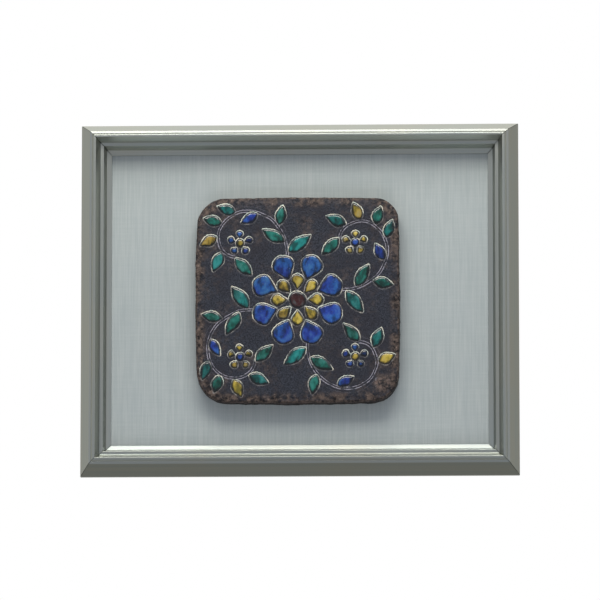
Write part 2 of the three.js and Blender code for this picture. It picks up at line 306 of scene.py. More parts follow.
def make_world():
    """White to the camera. To the rest, a room that is bright above, and dimmer straight in front,
    low down, and behind on the right. It is cool in front and warm behind."""
    world = bpy.data.worlds.new("studio")
    bpy.context.scene.world = world
    nodes = Nodes(world)
    direction = nodes.add("TexCoord").outputs["Generated"]
    axes = nodes.add("SeparateXYZ", {0: direction}).outputs
    above = nodes.smooth(axes["Z"], 0.1, 0.8, 0.4, 1.0)
    below = nodes.smooth(axes["Z"], -0.8, 0.1, nodes.smooth(axes["Y"], -0.3, 0.5, 0.95, 0.55), 1.0)
    rightwards = nodes.smooth(axes["X"], -0.5, 0.6, 1.0, nodes.smooth(axes["Y"], -0.2, 0.4, 1.05, 0.8))
    frontwards = nodes.smooth(axes["Y"], -0.95, -0.3, 0.76, 1.0)
    strength = nodes.math("MULTIPLY", above, below)
    strength = nodes.math("MULTIPLY", strength, nodes.math("MULTIPLY", rightwards, frontwards))
    tint = nodes.mix(nodes.smooth(axes["Y"], -0.3, 0.3), (0.92, 0.96, 1.06, 1), (1, 1, 0.95, 1))
    room = nodes.add("Background", {"Color": tint, "Strength": strength})
    seen = nodes.add("Background", {"Color": (1, 1, 1, 1), "Strength": 1.0})
    camera_ray = nodes.add("LightPath").outputs["Is Camera Ray"]
    both = nodes.add("MixShader", {0: camera_ray, 1: room.outputs[0], 2: seen.outputs[0]})
    nodes.add("OutputWorld", {"Surface": both.outputs[0]})


def make_softbox(name, place, aim, width, height, power, tint, in_gloss):
    data = bpy.data.lights.new(name, "AREA")
    data.shape = "RECTANGLE"
    data.size, data.size_y = width, height
    data.energy = power
    data.color = tint
    light = bpy.data.objects.new(name, data)
    light.location = place
    light.rotation_mode = "QUATERNION"
    light.rotation_quaternion = (Vector(aim) - Vector(place)).to_track_quat("-Z", "Y")
    light.visible_camera = False
    light.visible_glossy = in_gloss
    bpy.context.scene.collection.objects.link(light)


def make_floor():
    """A round pale floor under the object, with a faint mottle."""
    turns = [2 * math.pi * i / FLOOR_SIDES for i in range(FLOOR_SIDES)]
    rim = [(FLOOR_RADIUS * math.cos(t), FLOOR_RADIUS * math.sin(t), FLOOR_LEVEL) for t in turns]
    mesh = bpy.data.meshes.new("floor")
    mesh.from_pydata(rim, [], [range(len(rim))])
    material = bpy.data.materials.new("floor")
    nodes = Nodes(material)
    mottle = nodes.noise(nodes.add("TexCoord").outputs["Object"], 9)
    tone = nodes.mix(mottle, colour(232, 232, 230), colour(240, 240, 238))
    nodes.surface(Base_Color=tone, Roughness=0.8)
    mesh.materials.append(material)
    floor = bpy.data.objects.new("floor", mesh)
    floor.visible_glossy = False
    floor.visible_diffuse = False
    bpy.context.scene.collection.objects.link(floor)


# Metal rails
def metal(name, along):
    """Satin anodised aluminium with a fine hairline along one axis, and painted shade darkening the steep
    inner walls.
    """
    material = bpy.data.materials.new(name)
    nodes = Nodes(material)
    place = nodes.add("TexCoord").outputs["Object"]
    stretch = [HAIRLINE_STRETCH if axis == along else 1 for axis in range(3)]
    hairs = nodes.noise(place, HAIRLINE_SCALE, 3, 0.6, stretch)
    bands = nodes.noise(place, METAL_BAND_SCALE, 2, 0.5, stretch)
    patches = nodes.noise(place, METAL_PATCH_SCALE, 3)
    tone = nodes.mix(hairs, colour(186, 189, 180), colour(208, 210, 200))
    tone = nodes.mix(nodes.smooth(bands, 0.35, 0.7), tone, colour(188, 195, 190))
    tone = nodes.mix(nodes.smooth(patches, 0.35, 0.75, 0, 0.35), tone, colour(200, 196, 180))
    # Painted shade: the steep inner walls are darkened in the metal's colour.
    tone = nodes.mix(nodes.attribute("painted_wall_shade"), tone, colour(206, 204, 202), "MULTIPLY")
    gloss = nodes.math(
        "ADD", nodes.smooth(hairs, 0.2, 0.8, 0.29, 0.35), nodes.smooth(patches, 0.2, 0.8, -0.02, 0.02)
    )
    bump = nodes.add("Bump", {"Strength": 0.05, "Distance": 0.0002, "Height": hairs})
    nodes.surface(Base_Color=tone, Metallic=1.0, Roughness=gloss, Normal=bump.outputs[0])
    return material


def rail_section():
    """The rail's section in order, as (width, height) points in millimetres, from the top rail's end."""
    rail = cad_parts["frame_rail_top"].data
    outer_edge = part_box("frame_rail_top")[1].z
    edges = set()
    for face in rail.polygons:
        if face.normal.x > MITRE_FACING:
            corners = [rail.vertices[i].co for i in face.vertices]
            flat = [(round((outer_edge - c.z) / MM, 3), round(-c.y / MM, 3)) for c in corners]
            edges.update(zip(flat, flat[1:] + flat[:1]))
    following = {a: b for a, b in edges if (b, a) not in edges}
    ring = [min(following)]
    while following[ring[-1]] != ring[0]:
        ring.append(following[ring[-1]])
    return ring


def rounded_section(section):
    """The section with each corner rounded, less where the faces beside it are narrow."""
    points = []
    for i, here in enumerate(section):
        here = Vector(here)
        before, after = Vector(section[i - 1]) - here, Vector(section[(i + 1) % len(section)]) - here
        reach = min(EDGE_ROUNDING_MM, EDGE_SHARE * before.length, EDGE_SHARE * after.length)
        start, end = here + before.normalized() * reach, here + after.normalized() * reach
        for step in range(EDGE_STEPS + 1):
            share = step / EDGE_STEPS
            points.append(start.lerp(here, share).lerp(here.lerp(end, share), share))
    return points


def inset_section(points, inset):
    """The section shrunk by inset millimetres along its own normals."""
    shrunk = []
    for i, here in enumerate(points):
        along = points[(i + 1) % len(points)] - points[i - 1]
        inwards = Vector((along.y, -along.x)).normalized() * section_turn(points)
        shrunk.append(here + inwards * inset)
    return shrunk


def section_turn(points):
    """-1 for points that turn counterclockwise, 1 for clockwise ones."""
    doubled = sum(points[i - 1].cross(point) for i, point in enumerate(points))
    return -1 if doubled > 0 else 1


def rail_rings(section, half):
    """The rings of a rail's ends, as (place along the rail, section point), with both ends rounded."""
    rings = []
    for end in (-1, 1):
        steps = range(MITRE_STEPS + 1)
        for step in steps if end < 0 else reversed(steps):
            turn = math.pi / 2 * step / MITRE_STEPS
            inset = MITRE_ROUNDING_MM * (1 - math.sin(turn))
            short = MITRE_ROUNDING_MM * (1 - math.cos(turn))
            rings.append([(end * (half - p.x - short), p) for p in inset_section(section, inset)])
    return rings


def mark_walls(mesh, section, lengths, shade_painted):
    """Marks the section's steep inner walls, on each length between two rings, for painted shade in the
    metal's colour.
    """
    ways = [section[(i + 1) % len(section)] - point for i, point in enumerate(section)]
    # Walls that get painted shade, where this rail has painted shade at all.
    walls = [float(shade_painted and -way.y > WALL_STEEPNESS * abs(way.x)) for way in ways]
    ends = [0, 0]
    mesh.attributes.new("painted_wall_shade", "FLOAT", "FACE").data.foreach_set("value", walls * lengths + ends)


def make_rail(side, axis, material):
    """One mitred rail. Its section runs inwards from the outer edge. The other rails' steep inner walls
    get painted shade; the top rail's walls stay as bright as the rest of it."""
    node = f"frame_rail_{side}"
    low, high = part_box(node)
    section = rounded_section(rail_section())
    half = (high - low)[axis] / 2 / MM
    middle = (low + high) / 2
    outer = {"top": high.z, "bottom": low.z, "left": low.x, "right": high.x}[side]
    inwards = 1 if side in ("bottom", "left") else -1
    rings = rail_rings(section, half)
    places = []
    for ring in rings:
        for along, p in ring:
            across = outer + inwards * p.x * MM
            level = middle[axis] + along * MM
            places.append((level, -p.y * MM, across) if axis == 0 else (across, -p.y * MM, level))
    count = len(section)
    last = count * (len(rings) - 1)
    faces = [
        (start + i, start + (i + 1) % count, start + count + (i + 1) % count, start + count + i)
        for start in range(0, last, count)
        for i in range(count)
    ]
    faces += [tuple(range(count))[::-1], tuple(range(last, last + count))]
    piece = place_piece(f"metal_rail_{side}", places, faces, material, node)
    # Painted shade on the inner walls of every rail but the top one.
    mark_walls(piece.data, section, len(rings) - 1, side != "top")
    face_outwards(piece.data)
    smooth_shading(piece, SHARP_OVER_DEGREES)


def face_outwards(mesh):
    """Turns the mesh's faces outwards, for a closed mesh whose faces agree with each other."""
    volume = 0
    for face in mesh.polygons:
        corners = [mesh.vertices[i].co for i in face.vertices]
        for i in range(1, len(corners) - 1):
            volume += corners[0].dot(corners[i].cross(corners[i + 1]))
    if volume < 0:
        mesh.flip_normals()


def grid_faces(columns, rows):
    """The faces of a grid of points that runs column by column."""
    index = np.arange(columns * rows).reshape(columns, rows)
    corners = [index[:-1, :-1], index[1:, :-1], index[1:, 1:], index[:-1, 1:]]
    return np.stack(corners, axis=-1).reshape(-1, 4).tolist()


def grid_rim(count):
    """The grid's outermost points, counterclockwise from the foot of its right side, as (column, row)."""
    last = 2 * count
    right = [(last, i) for i in range(last)]
    top = [(last - i, last) for i in range(last)]
    left = [(0, last - i) for i in range(last)]
    bottom = [(i, 0) for i in range(last)]
    return right + top + left + bottom


def stitched(inner, outer):
    """The faces between two closed rings of points, given as their numbers."""
    count = len(inner)
    return [
        (inner[i], outer[i], outer[(i + 1) % count], inner[(i + 1) % count])
        for i in range(count)
    ]


# Cloth-covered board
def linen():
    """Pale blue-grey linen: fine crossing threads with long slubs, mostly upright."""
    material = bpy.data.materials.new("pale_linen")
    nodes = Nodes(material)
    place = nodes.add("TexCoord").outputs["Object"]
    slubs = nodes.noise(place, THREAD_SCALE, 2, 0.6, (1, 1, THREAD_STRETCH))
    rows = nodes.noise(place, THREAD_SCALE, 2, 0.6, (THREAD_STRETCH, 1, 1))
    long_slubs = nodes.noise(place, SLUB_SCALE, 2, 0.5, (1, 1, SLUB_STRETCH))
    patches = nodes.noise(place, CLOTH_PATCH_SCALE, 3)
    axes = nodes.add("SeparateXYZ", {0: place}).outputs
    warp = nodes.math("SINE", nodes.math("MULTIPLY", axes["X"], THREADS_PER_METRE))
    weft = nodes.math("SINE", nodes.math("MULTIPLY", axes["Z"], THREADS_PER_METRE))
    weave = nodes.math("MULTIPLY", warp, weft)
    thread = nodes.math("ADD", nodes.math("MULTIPLY", slubs, 0.72), nodes.math("MULTIPLY", rows, 0.28))
    tone = nodes.mix(nodes.smooth(thread, 0.3, 0.7), colour(157, 165, 164), colour(171, 177, 175))
    tone = nodes.mix(nodes.smooth(long_slubs, 0.6, 0.8, 0, 0.4), tone, colour(177, 182, 178))
    tone = nodes.mix(nodes.smooth(patches, 0.3, 0.8, 0, 0.3), tone, colour(158, 166, 168))
    relief = nodes.math("ADD", thread, nodes.math("MULTIPLY", weave, 0.15))
    bump = nodes.add("Bump", {"Strength": 0.2, "Distance": 0.0002, "Height": relief})
    nodes.surface(
        Base_Color=tone, Roughness=0.85, Sheen_Weight=0.15, Sheen_Roughness=0.5, Normal=bump.outputs[0]
    )
    return material


def backing_paper():
    """Brown backing paper with short fibres."""
    material = bpy.data.materials.new("backing_paper")
    nodes = Nodes(material)
    place = nodes.add("TexCoord").outputs["Object"]
    fibres = nodes.noise(place, PAPER_FIBRE_SCALE, 4, 0.7, (1, 1, 0.3))
    stains = nodes.noise(place, PAPER_STAIN_SCALE, 3)
    tone = nodes.mix(fibres, colour(150, 124, 92), colour(176, 150, 116))
    tone = nodes.mix(nodes.smooth(stains, 0.45, 0.8, 0, 0.35), tone, colour(140, 112, 82))
    bump = nodes.add("Bump", {"Strength": 0.3, "Distance": 0.0002, "Height": fibres})
    nodes.surface(Base_Color=tone, Roughness=0.9, Normal=bump.outputs[0])
    return material


def make_board():
    """The board: cloth over its front and edges, turned over behind as a hem round the backing paper."""
    low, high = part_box("cloth_covered_board")
    middle, half = (low + high) / 2, (high - low) / 2
    radius = CLOTH_EDGE_RADIUS_MM * MM

    def place(u, v, inset, level):
        return (middle.x + u * (half.x - inset), level, middle.z + v * (half.z - inset))

    steps = [i / BOARD_GRID for i in range(-BOARD_GRID, BOARD_GRID + 1)]
    side = len(steps)
    points = [place(u, v, radius, low.y) for u in steps for v in steps]
    points = [
        (x, y + CLOTH_WAVE_MM * MM * (0.5 + 0.5 * noise.noise(Vector((x, z, 0)) / CLOTH_WAVE_LENGTH)), z)
        for x, y, z in points
    ]
    faces = grid_faces(side, side)
    rim = grid_rim(BOARD_GRID)
    ring = [column * side + row for column, row in rim]
    outline = [(steps[column], steps[row]) for column, row in rim]
    profile = []
    for step in range(1, CLOTH_EDGE_STEPS + 1):
        turn = math.pi / 2 * step / CLOTH_EDGE_STEPS
        profile.append((radius * (1 - math.sin(turn)), low.y + radius * (1 - math.cos(turn))))
    profile += [(inset, high.y - (level - low.y)) for inset, level in reversed(profile[:-1])]
    profile += [(radius, high.y), (HEM_WIDTH_MM * MM, high.y)]
    profile.append((HEM_WIDTH_MM * MM, high.y - HEM_STEP_MM * MM))
    for inset, level in profile:
        following = range(len(points), len(points) + len(outline))
        points += [place(u, v, inset, level) for u, v in outline]
        faces += stitched(ring, following)
        ring = following
    faces.append(tuple(ring)[::-1])
    piece = place_piece("linen_board", points, faces, linen(), "cloth_covered_board")
    piece.data.materials.append(backing_paper())
    piece.data.polygons[len(faces) - 1].material_index = 1
    smooth_shading(piece, SHARP_OVER_DEGREES)


# Tile
def noise_at(x, z, size, seed):
    """Noise between -1 and 1 at places in millimetres, with features of that size."""
    flat = zip((x / size).ravel(), (z / size).ravel())
    return np.array([noise.noise((a, b, seed)) for a, b in flat]).reshape(x.shape)


def waves(x, z, parts):
    """The sum of several noises at places in millimetres, each part with its height, width and seed."""
    return sum(height * noise_at(x, z, width, seed) for height, width, seed in parts)


def tile_run(side, half_x, half_z):
    """One side of the tile's outline with the nearer halves of its two corners, counterclockwise.
    Gives x, z and the outward direction's x and z, by a place from -1 to 1 along the run."""
    turn = side * QUARTER

    def arc(corner, first, last):
        sign_x, sign_z, radius = TILE_CORNERS[corner % len(TILE_CORNERS)]
        turns = np.radians(np.linspace(first, last, RUN_STEPS))
        x = sign_x * (half_x - SIDE_BOW_MM - radius) + radius * np.cos(turns)
        z = sign_z * (half_z - SIDE_BOW_MM - radius) + radius * np.sin(turns)
        return x, z

    from_x, from_z = arc(side - 1, turn - QUARTER / 2, turn)
    to_x, to_z = arc(side, turn, turn + QUARTER / 2)
    share = np.linspace(0, 1, 2 * RUN_STEPS + 1)[1:-1]
    bow = SIDE_BOW_MM * np.sin(np.pi * share)
    out_x, out_z = math.cos(math.radians(turn)), math.sin(math.radians(turn))
    side_x = from_x[-1] + share * (to_x[0] - from_x[-1]) + bow * out_x
    side_z = from_z[-1] + share * (to_z[0] - from_z[-1]) + bow * out_z
    x, z = np.concatenate([from_x, side_x, to_x]), np.concatenate([from_z, side_z, to_z])
    gone = np.concatenate([[0], np.cumsum(np.hypot(np.diff(x), np.diff(z)))])
    middle = gone[len(gone) // 2]
    place = np.where(gone < middle, gone / middle - 1, (gone - middle) / (gone[-1] - middle))
    along_x, along_z = np.gradient(x), np.gradient(z)
    length = np.hypot(along_x, along_z)
    return place, (x, z, along_z / length, -along_x / length)


def tile_outline(u, v, half_x, half_z):
    """The outline's point and outward direction for each place (u, v) on the rim of the square from
    -1 to 1."""
    right, top, left = u >= abs(v), v >= abs(u), -u >= abs(v)
    side = np.select([right, top, left], [0, 1, 2], 3)
    along = np.select([right, top, left], [v, -u, -v], u)
    found = [np.zeros_like(u) for _ in range(4)]
    for number in range(4):
        place, values = tile_run(number, half_x, half_z)
        here = side == number
        for result, value in zip(found, values):
            result[here] = np.interp(along[here], place, value)
    x, z, out_x, out_z = found
    cut = waves(x, z, CUT_WAVES) - CUT_BACK_MM
    return x + cut * out_x, z + cut * out_z, out_x, out_z


def offset(point, distance, degrees):
    turn = math.radians(degrees)
    return (point[0] + distance * math.cos(turn), point[1] + distance * math.sin(turn))


def petal(root, direction, length, width, belly, fullness):
    """A petal's or leaf's outline, in hundredths of the tile's shorter side."""
    sides = []
    for side in (-1, 1):
        points = []
        for step in range(PETAL_STEPS + 1):
            share = (1 - math.cos(math.pi * step / PETAL_STEPS)) / 2
            across = width / 2 * math.sin(math.pi * share**belly) ** fullness if share < 1 else 0
            midrib = offset(root, share * length, direction)
            points.append(offset(midrib, across, direction + side * QUARTER))
        sides.append(points)
    return sides[0][:-1] + sides[1][:0:-1]


def disc(centre, radius):
    return [offset(centre, radius, 360 * i / DISC_STEPS) for i in range(DISC_STEPS)]


def petal_ring(centre, count, start, length, width, turn):
    directions = [turn + 360 * i / count for i in range(count)]
    return [petal(offset(centre, start, d), d, length, width, *ROUND_TIP) for d in directions]


def scroll_eye(quarter):
    return offset((0, 0), SCROLL["away"], (quarter + 0.5) * QUARTER)


def scroll_place(quarter, share):
    """A place on a corner's scroll, by its share of the sweep, and the stem's heading there."""
    turned = share * SCROLL["sweep"]
    bearing = SCROLL["from"] + turned + quarter * QUARTER
    reach = SCROLL["radius"] * math.exp(-SCROLL["tightening"] * math.radians(turned))
    heading = bearing + QUARTER + math.degrees(math.atan(SCROLL["tightening"]))
    return offset(scroll_eye(quarter), reach, bearing), heading


def enamel_cells():
    """Every enamel cell's outline with the name of its glaze."""
    cells = [(disc((0, 0), HEART_RADIUS), "heart")]
    cells += [(outline, "yellow") for outline in petal_ring((0, 0), *INNER_PETALS)]
    cells += [(outline, "blue") for outline in petal_ring((0, 0), *OUTER_PETALS)]
    for quarter in range(4):
        eye = scroll_eye(quarter)
        petals, heart = BUD_GLAZES[quarter % 2]
        cells.append((disc(eye, BUD_RADIUS), heart))
        cells += [(outline, petals) for outline in petal_ring(eye, *BUD_PETALS)]
        for share, side, lean, length, width, glaze, in_corner in SCROLL_LEAVES:
            if in_corner and quarter == STROKES_CORNER:
                continue
            point, heading = scroll_place(quarter, share)
            direction = heading + side * lean
            root = offset(point, LEAF_STANDOFF, direction)
            outline = petal(root, direction, length, width, *SHARP_TIP)
            cells.append((outline, glaze))
    return cells


def incised_lines():
    """Every incised line as a list of points with its fineness: four scrolls, then the plain strokes."""
    lines = []
    for quarter in range(4):
        points = [scroll_place(quarter, i / SCROLL_STEPS)[0] for i in range(SCROLL_STEPS + 1)]
        lines.append((points, 1))
    for row in range(STROKE_ROWS):
        for column in range(STROKES_PER_ROW):
            x = STROKES_MIDDLE + (column - (STROKES_PER_ROW - 1) / 2) * STROKE_PITCH
            z = -STROKES_MIDDLE - (row - (STROKE_ROWS - 1) / 2) * STROKE_PITCH
            turn = QUARTER if (row + column) % 2 == 0 else 0
            points = [offset((x, z), side * STROKE_LENGTH / 2, turn) for side in (-1, 1)]
            lines.append((points, STROKE_FINENESS))
    return lines


def near_segments(x, z, line):
    """For each place: its distance to the line, with a sign for the side; 0 where it is past an end,
    else 1; and how far the way from the line to it points up, from -1 to 1."""
    start, end = line[:-1], line[1:]
    way = end - start
    rel_x, rel_z = x[:, None] - start[None, :, 0], z[:, None] - start[None, :, 1]
    share = (rel_x * way[:, 0] + rel_z * way[:, 1]) / (way**2).sum(1)
    held = np.clip(share, 0, 1)
    distance = np.hypot(rel_x - held * way[:, 0], rel_z - held * way[:, 1])
    nearest = distance.argmin(1)
    rows = np.arange(len(x))
    side = np.sign(way[nearest, 0] * rel_z[rows, nearest] - way[nearest, 1] * rel_x[rows, nearest])
    before = (nearest == 0) & (share[:, 0] < 0)
    after = (nearest == len(way) - 1) & (share[:, -1] > 1)
    distance = distance[rows, nearest]
    upward = (z - start[nearest, 1] - held[rows, nearest] * way[nearest, 1]) / np.maximum(distance, 1e-6)
    return distance * side, np.where(before | after, 0.0, 1.0), upward


def inside_outline(x, z, outline):
    """True for each place inside a closed outline."""
    a, b = outline, np.roll(outline, -1, axis=0)
    spans = (a[None, :, 1] > z[:, None]) != (b[None, :, 1] > z[:, None])
    rise = np.where(a[:, 1] == b[:, 1], 1, b[:, 1] - a[:, 1])
    crossing = a[None, :, 0] + (z[:, None] - a[None, :, 1]) * ((b[:, 0] - a[:, 0]) / rise)[None, :]
    return (spans & (x[:, None] < crossing)).sum(1) % 2 == 1


def drawing_fields(x, z, unit):
    """A dict of fields, and the glaze's two colours, at each place. The fields are the distance into the
    nearest cell, negative outside it, how far that cell's edge faces up, the distance to the nearest
    line, and whether the line reaches there."""
    cell = np.full(x.shape, -FIELD_REACH_MM, float)
    upward = np.zeros(x.shape)
    glaze = np.zeros((len(x), 4))
    patch = np.zeros((len(x), 4))
    line = np.full(x.shape, FIELD_REACH_MM, float)
    reached = np.zeros(x.shape)
    shades = np.random.default_rng(SHADE_SEED)
    for outline, name in enamel_cells():
        outline = np.array(outline) * unit
        low, high = outline.min(0) - FIELD_REACH_MM, outline.max(0) + FIELD_REACH_MM
        near = np.flatnonzero((x > low[0]) & (x < high[0]) & (z > low[1]) & (z < high[1]))
        closed = np.vstack([outline, outline[:1]])
        distance, _, rising = near_segments(x[near], z[near], closed)
        inside = inside_outline(x[near], z[near], outline)
        signed = np.where(inside, abs(distance), -abs(distance))
        better = signed > cell[near]
        chosen = near[better]
        cell[chosen] = signed[better]
        upward[chosen] = np.where(inside, -rising, rising)[better]
        shade = shades.uniform(*SHADE_RANGE)
        glaze[chosen], patch[chosen] = (np.array(tone) * shade for tone in GLAZES[name])
    for points, fineness in incised_lines():
        points = np.array(points) * unit
        low, high = points.min(0) - FIELD_REACH_MM, points.max(0) + FIELD_REACH_MM
        near = np.flatnonzero((x > low[0]) & (x < high[0]) & (z > low[1]) & (z < high[1]))
        signed, on, _ = near_segments(x[near], z[near], points)
        signed *= fineness
        better = abs(signed) < abs(line[near])
        chosen = near[better]
        line[chosen] = signed[better]
        reached[chosen] = on[better]
    return {"cell": cell, "line": line, "reached": reached, "upward": upward}, glaze, patch


def hump(distance, reach):
    """1 where distance is 0, and straight down to 0 at reach on either side."""
    return np.clip(1 - abs(distance) / reach, 0, 1)


def tile_relief(x, z, unit):
    """Height in millimetres above the clay's plane at each place, and what the material reads there."""
    wobble = [WOBBLE_MM * noise_at(x, z, WOBBLE_WIDTH_MM, seed) for seed in WOBBLE_SEEDS]
    fields, glaze, patch = drawing_fields(x + wobble[0], z + wobble[1], unit)
    cell, line, reached = fields["cell"], fields["line"], fields["reached"]
    groove = hump(cell + OUTLINE_PLACE_MM, GROOVE_REACH_MM)
    burr = hump(cell + BURR_PLACE_MM, BURR_REACH_MM)
    dome = 1 - (1 - np.clip(cell / ENAMEL_DOME_WIDTH_MM, 0, 1)) ** 2
    enamel = ENAMEL_STEP_MM * unit_step(cell / ENAMEL_STEP_WIDTH_MM) + ENAMEL_DOME_MM * dome
    enamel += unit_step(cell / ENAMEL_WAVES_START_MM) * (waves(x, z, ENAMEL_WAVES) - ENAMEL_SUNK_MM)
    channel = reached * hump(abs(line) - SCRATCH_PLACE_MM, SCRATCH_REACH_MM)
    banks = reached * hump(abs(line) - SCRATCH_PLACE_MM - BANK_BESIDE_MM, BANK_REACH_MM)
    height = waves(x, z, GROUND_WAVES) * (1 - unit_step(cell)) + enamel
    height += BURR_HEIGHT_MM * burr - GROOVE_DEPTH_MM * unit_step(groove)
    lines = BANK_HEIGHT_MM * banks - SCRATCH_DEPTH_MM * unit_step(channel)
    height += np.where(cell > -LINES_STOP_MM, 0, lines)
    # Painted highlight: the pale slip is fuller and brighter where the cell's edge faces up, on top of its
    # own random variation.
    pale = PALE_LEVEL + UPWARD_PAINTED_HIGHLIGHT * fields.pop("upward") + waves(x, z, PALE_WAVES)
    fields["pale"] = np.clip(pale, PALE_LEAST, 1)
    fields["brown"] = brown_field(x, z, unit)
    return height, fields, glaze, patch


def brown_field(x, z, unit):
    """How brown the clay is at each place: in patches, towards the corners and round the plain strokes."""
    corner = unit_step((abs(x) + abs(z)) / (BROWN_CORNER_WIDTH * unit) - BROWN_CORNER_START)
    strokes = STROKES_MIDDLE * unit
    away = np.hypot(x - strokes, z + strokes) / (STROKE_PITCH * STROKES_BROWN_REACH * unit)
    round_strokes = unit_step(STROKES_BROWN_END - away)
    return np.clip(BROWN_CORNER_SHARE * corner + waves(x, z, BROWN_WAVES) + round_strokes, 0, 1)


def front_places(half_x, half_z):
    """The front's grid of places in millimetres, squeezed from a square to the tile's outline, with each
    one's (u, v) in the square from -1 to 1."""
    steps = np.arange(-TILE_GRID, TILE_GRID + 1) / TILE_GRID
    u, v = (grid.ravel() for grid in np.meshgrid(steps, steps, indexing="ij"))
    ring = np.maximum(abs(u), abs(v))
    scale = np.where(ring > 0, ring, 1)
    out_x, out_z, away_x, away_z = tile_outline(u / scale, v / scale, half_x, half_z)
    out_x, out_z = out_x - FRONT_EDGE_INSET_MM * away_x, out_z - FRONT_EDGE_INSET_MM * away_z
    share = unit_step((ring - GRID_STRAIGHT_SHARE) / (1 - GRID_STRAIGHT_SHARE))
    x = (1 - share) * u * (half_x - FRONT_EDGE_INSET_MM) + share * ring * out_x
    z = (1 - share) * v * (half_z - FRONT_EDGE_INSET_MM) + share * ring * out_z
    return x, z, u, v


def side_profile(front, back):
    """The rings from the front's rim to the back, each with its inset, its height, its share of the rim's
    relief and its share of the rough side."""
    profile = []
    for step in range(1, EDGE_RINGS + 1):
        turn = math.pi / 2 * step / EDGE_RINGS
        share = step / EDGE_RINGS
        inset = FRONT_EDGE_INSET_MM * (1 - math.sin(turn))
        profile.append((inset, front - FRONT_EDGE_DEPTH_MM * (1 - math.cos(turn)), 1 - share, share))
    side_front, side_back = front - FRONT_EDGE_DEPTH_MM, back + BACK_EDGE_CHAMFER_MM
    for step in range(1, SIDE_RINGS + 1):
        profile.append((0, side_front + (side_back - side_front) * step / SIDE_RINGS, 0, 1))
    profile.append((BACK_EDGE_CHAMFER_MM, back, 0, 0))
    return profile


def store_fields(mesh, fields, glaze, patch, rim_count):
    """Keeps the front's fields on the mesh, and continues them with plain clay over the sides and back."""
    front_count = len(glaze)
    extra = len(mesh.vertices) - front_count
    outside = {"cell": -FIELD_REACH_MM, "line": FIELD_REACH_MM, "reached": 0, "pale": 0}
    outside |= {"brown": 1, "edge": 1, "side": 1}
    for name, values in fields.items():
        values = np.concatenate([values, np.full(extra, outside[name])])
        if name == "side":
            values[front_count:front_count + EDGE_RINGS * rim_count] = 0
        mesh.attributes.new(name, "FLOAT", "POINT").data.foreach_set("value", values)
    for name, values in (("glaze", glaze), ("patch", patch)):
        values = np.vstack([values, np.zeros((extra, 4))])
        mesh.attributes.new(name, "FLOAT_COLOR", "POINT").data.foreach_set("color", values.ravel())


def make_tile():
    """The tile as one closed mesh: a fine carved front, a rough hand-cut rim and a flat back."""
    low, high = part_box("ceramic_tile")
    half_x, half_z = (high.x - low.x) / 2 / MM, (high.z - low.z) / 2 / MM
    middle = (low + high) / 2
    front = -low.y / MM - ENAMEL_RISE_MM
    back = -high.y / MM
    unit = 2 * min(half_x, half_z) / DRAWING_SPAN
    x, z, u, v = front_places(half_x, half_z)
    relief, fields, glaze, patch = tile_relief(x, z, unit)
    ring = np.maximum(abs(u), abs(v))
    rough = unit_step((ring - ROUGH_START) / ROUGH_WIDTH)
    relief += rough * waves(x, z, ROUGH_WAVES)
    relief -= EDGE_DROP_MM * unit_step((ring - EDGE_DROP_START) / (1 - EDGE_DROP_START))
    fields["edge"] = rough
    fields["side"] = np.zeros(len(rough))

    side = 2 * TILE_GRID + 1
    rim = grid_rim(TILE_GRID)
    inner = [column * side + row for column, row in rim]
    rim_x, rim_z, away_x, away_z = tile_outline(u[inner], v[inner], half_x, half_z)
    rim_height = relief[inner]
    flat_x, flat_z, level = [x], [z], [front + relief]
    faces = grid_faces(side, side)
    total = len(x)
    for number, (inset, height, from_front, bark) in enumerate(side_profile(front, back)):
        bark_x, bark_z = rim_x + BARK_SHIFT_MM[0] * number, rim_z + BARK_SHIFT_MM[1] * number
        ridges = BARK_WAVE_MM * noise_at(bark_x, bark_z, BARK_WIDTH_MM, BARK_SEED) - BARK_BACK_MM
        ridges += GRIT_MM * noise_at(rim_x, rim_z, GRIT_WIDTH_MM, GRIT_FIRST_SEED + number)
        flat_x.append(rim_x + away_x * (bark * ridges - inset))
        flat_z.append(rim_z + away_z * (bark * ridges - inset))
        level.append(height + from_front * rim_height)
        outer = list(range(total, total + len(rim)))
        faces += stitched(inner, outer)
        inner = outer
        total += len(rim)
    faces.append(tuple(inner)[::-1])

    x, z, level = np.concatenate(flat_x), np.concatenate(flat_z), np.concatenate(level)
    points = np.stack([middle.x + x * MM, -level * MM, middle.z + z * MM], axis=1).tolist()
    piece = place_piece("enamelled_tile", points, faces, fired_clay(), "ceramic_tile")
    store_fields(piece.data, fields, glaze, patch, len(rim))
    piece.data.shade_smooth()


def clay_tone(nodes, place):
    """Graphite with fine specks, brown and bark-like in patches, at the rim and on the sides."""
    speckle = nodes.noise(place, CLAY_SPECK_SCALE, 3, 0.65)
    mottle = nodes.noise(place, CLAY_MOTTLE_SCALE, 4, 0.72)
    patches = nodes.noise(place, CLAY_PATCH_SCALE, 3)
    flecks = nodes.noise(place, CLAY_FLECK_SCALE, 2, 0.7)
    graphite = nodes.mix(nodes.smooth(speckle, 0.32, 0.7), colour(24, 26, 32), colour(56, 59, 69))
    graphite = nodes.mix(nodes.smooth(patches, 0.4, 0.7, 0, 0.6), graphite, colour(40, 38, 44))
    brown = nodes.mix(nodes.smooth(mottle, 0.36, 0.66), colour(20, 18, 20), colour(98, 84, 76))
    brown = nodes.mix(nodes.smooth(flecks, 0.6, 0.72, 0, 0.7), brown, colour(140, 122, 110))
    edge = nodes.math("MULTIPLY", nodes.attribute("edge"), nodes.smooth(patches, 0.4, 0.6, 0.3, 1))
    browning = nodes.math("MAXIMUM", edge, nodes.math("MULTIPLY", nodes.attribute("brown"), 0.85))
    tone = nodes.mix(browning, graphite, brown)
    return nodes.mix(nodes.attribute("side"), tone, colour(176, 170, 168), "MULTIPLY")


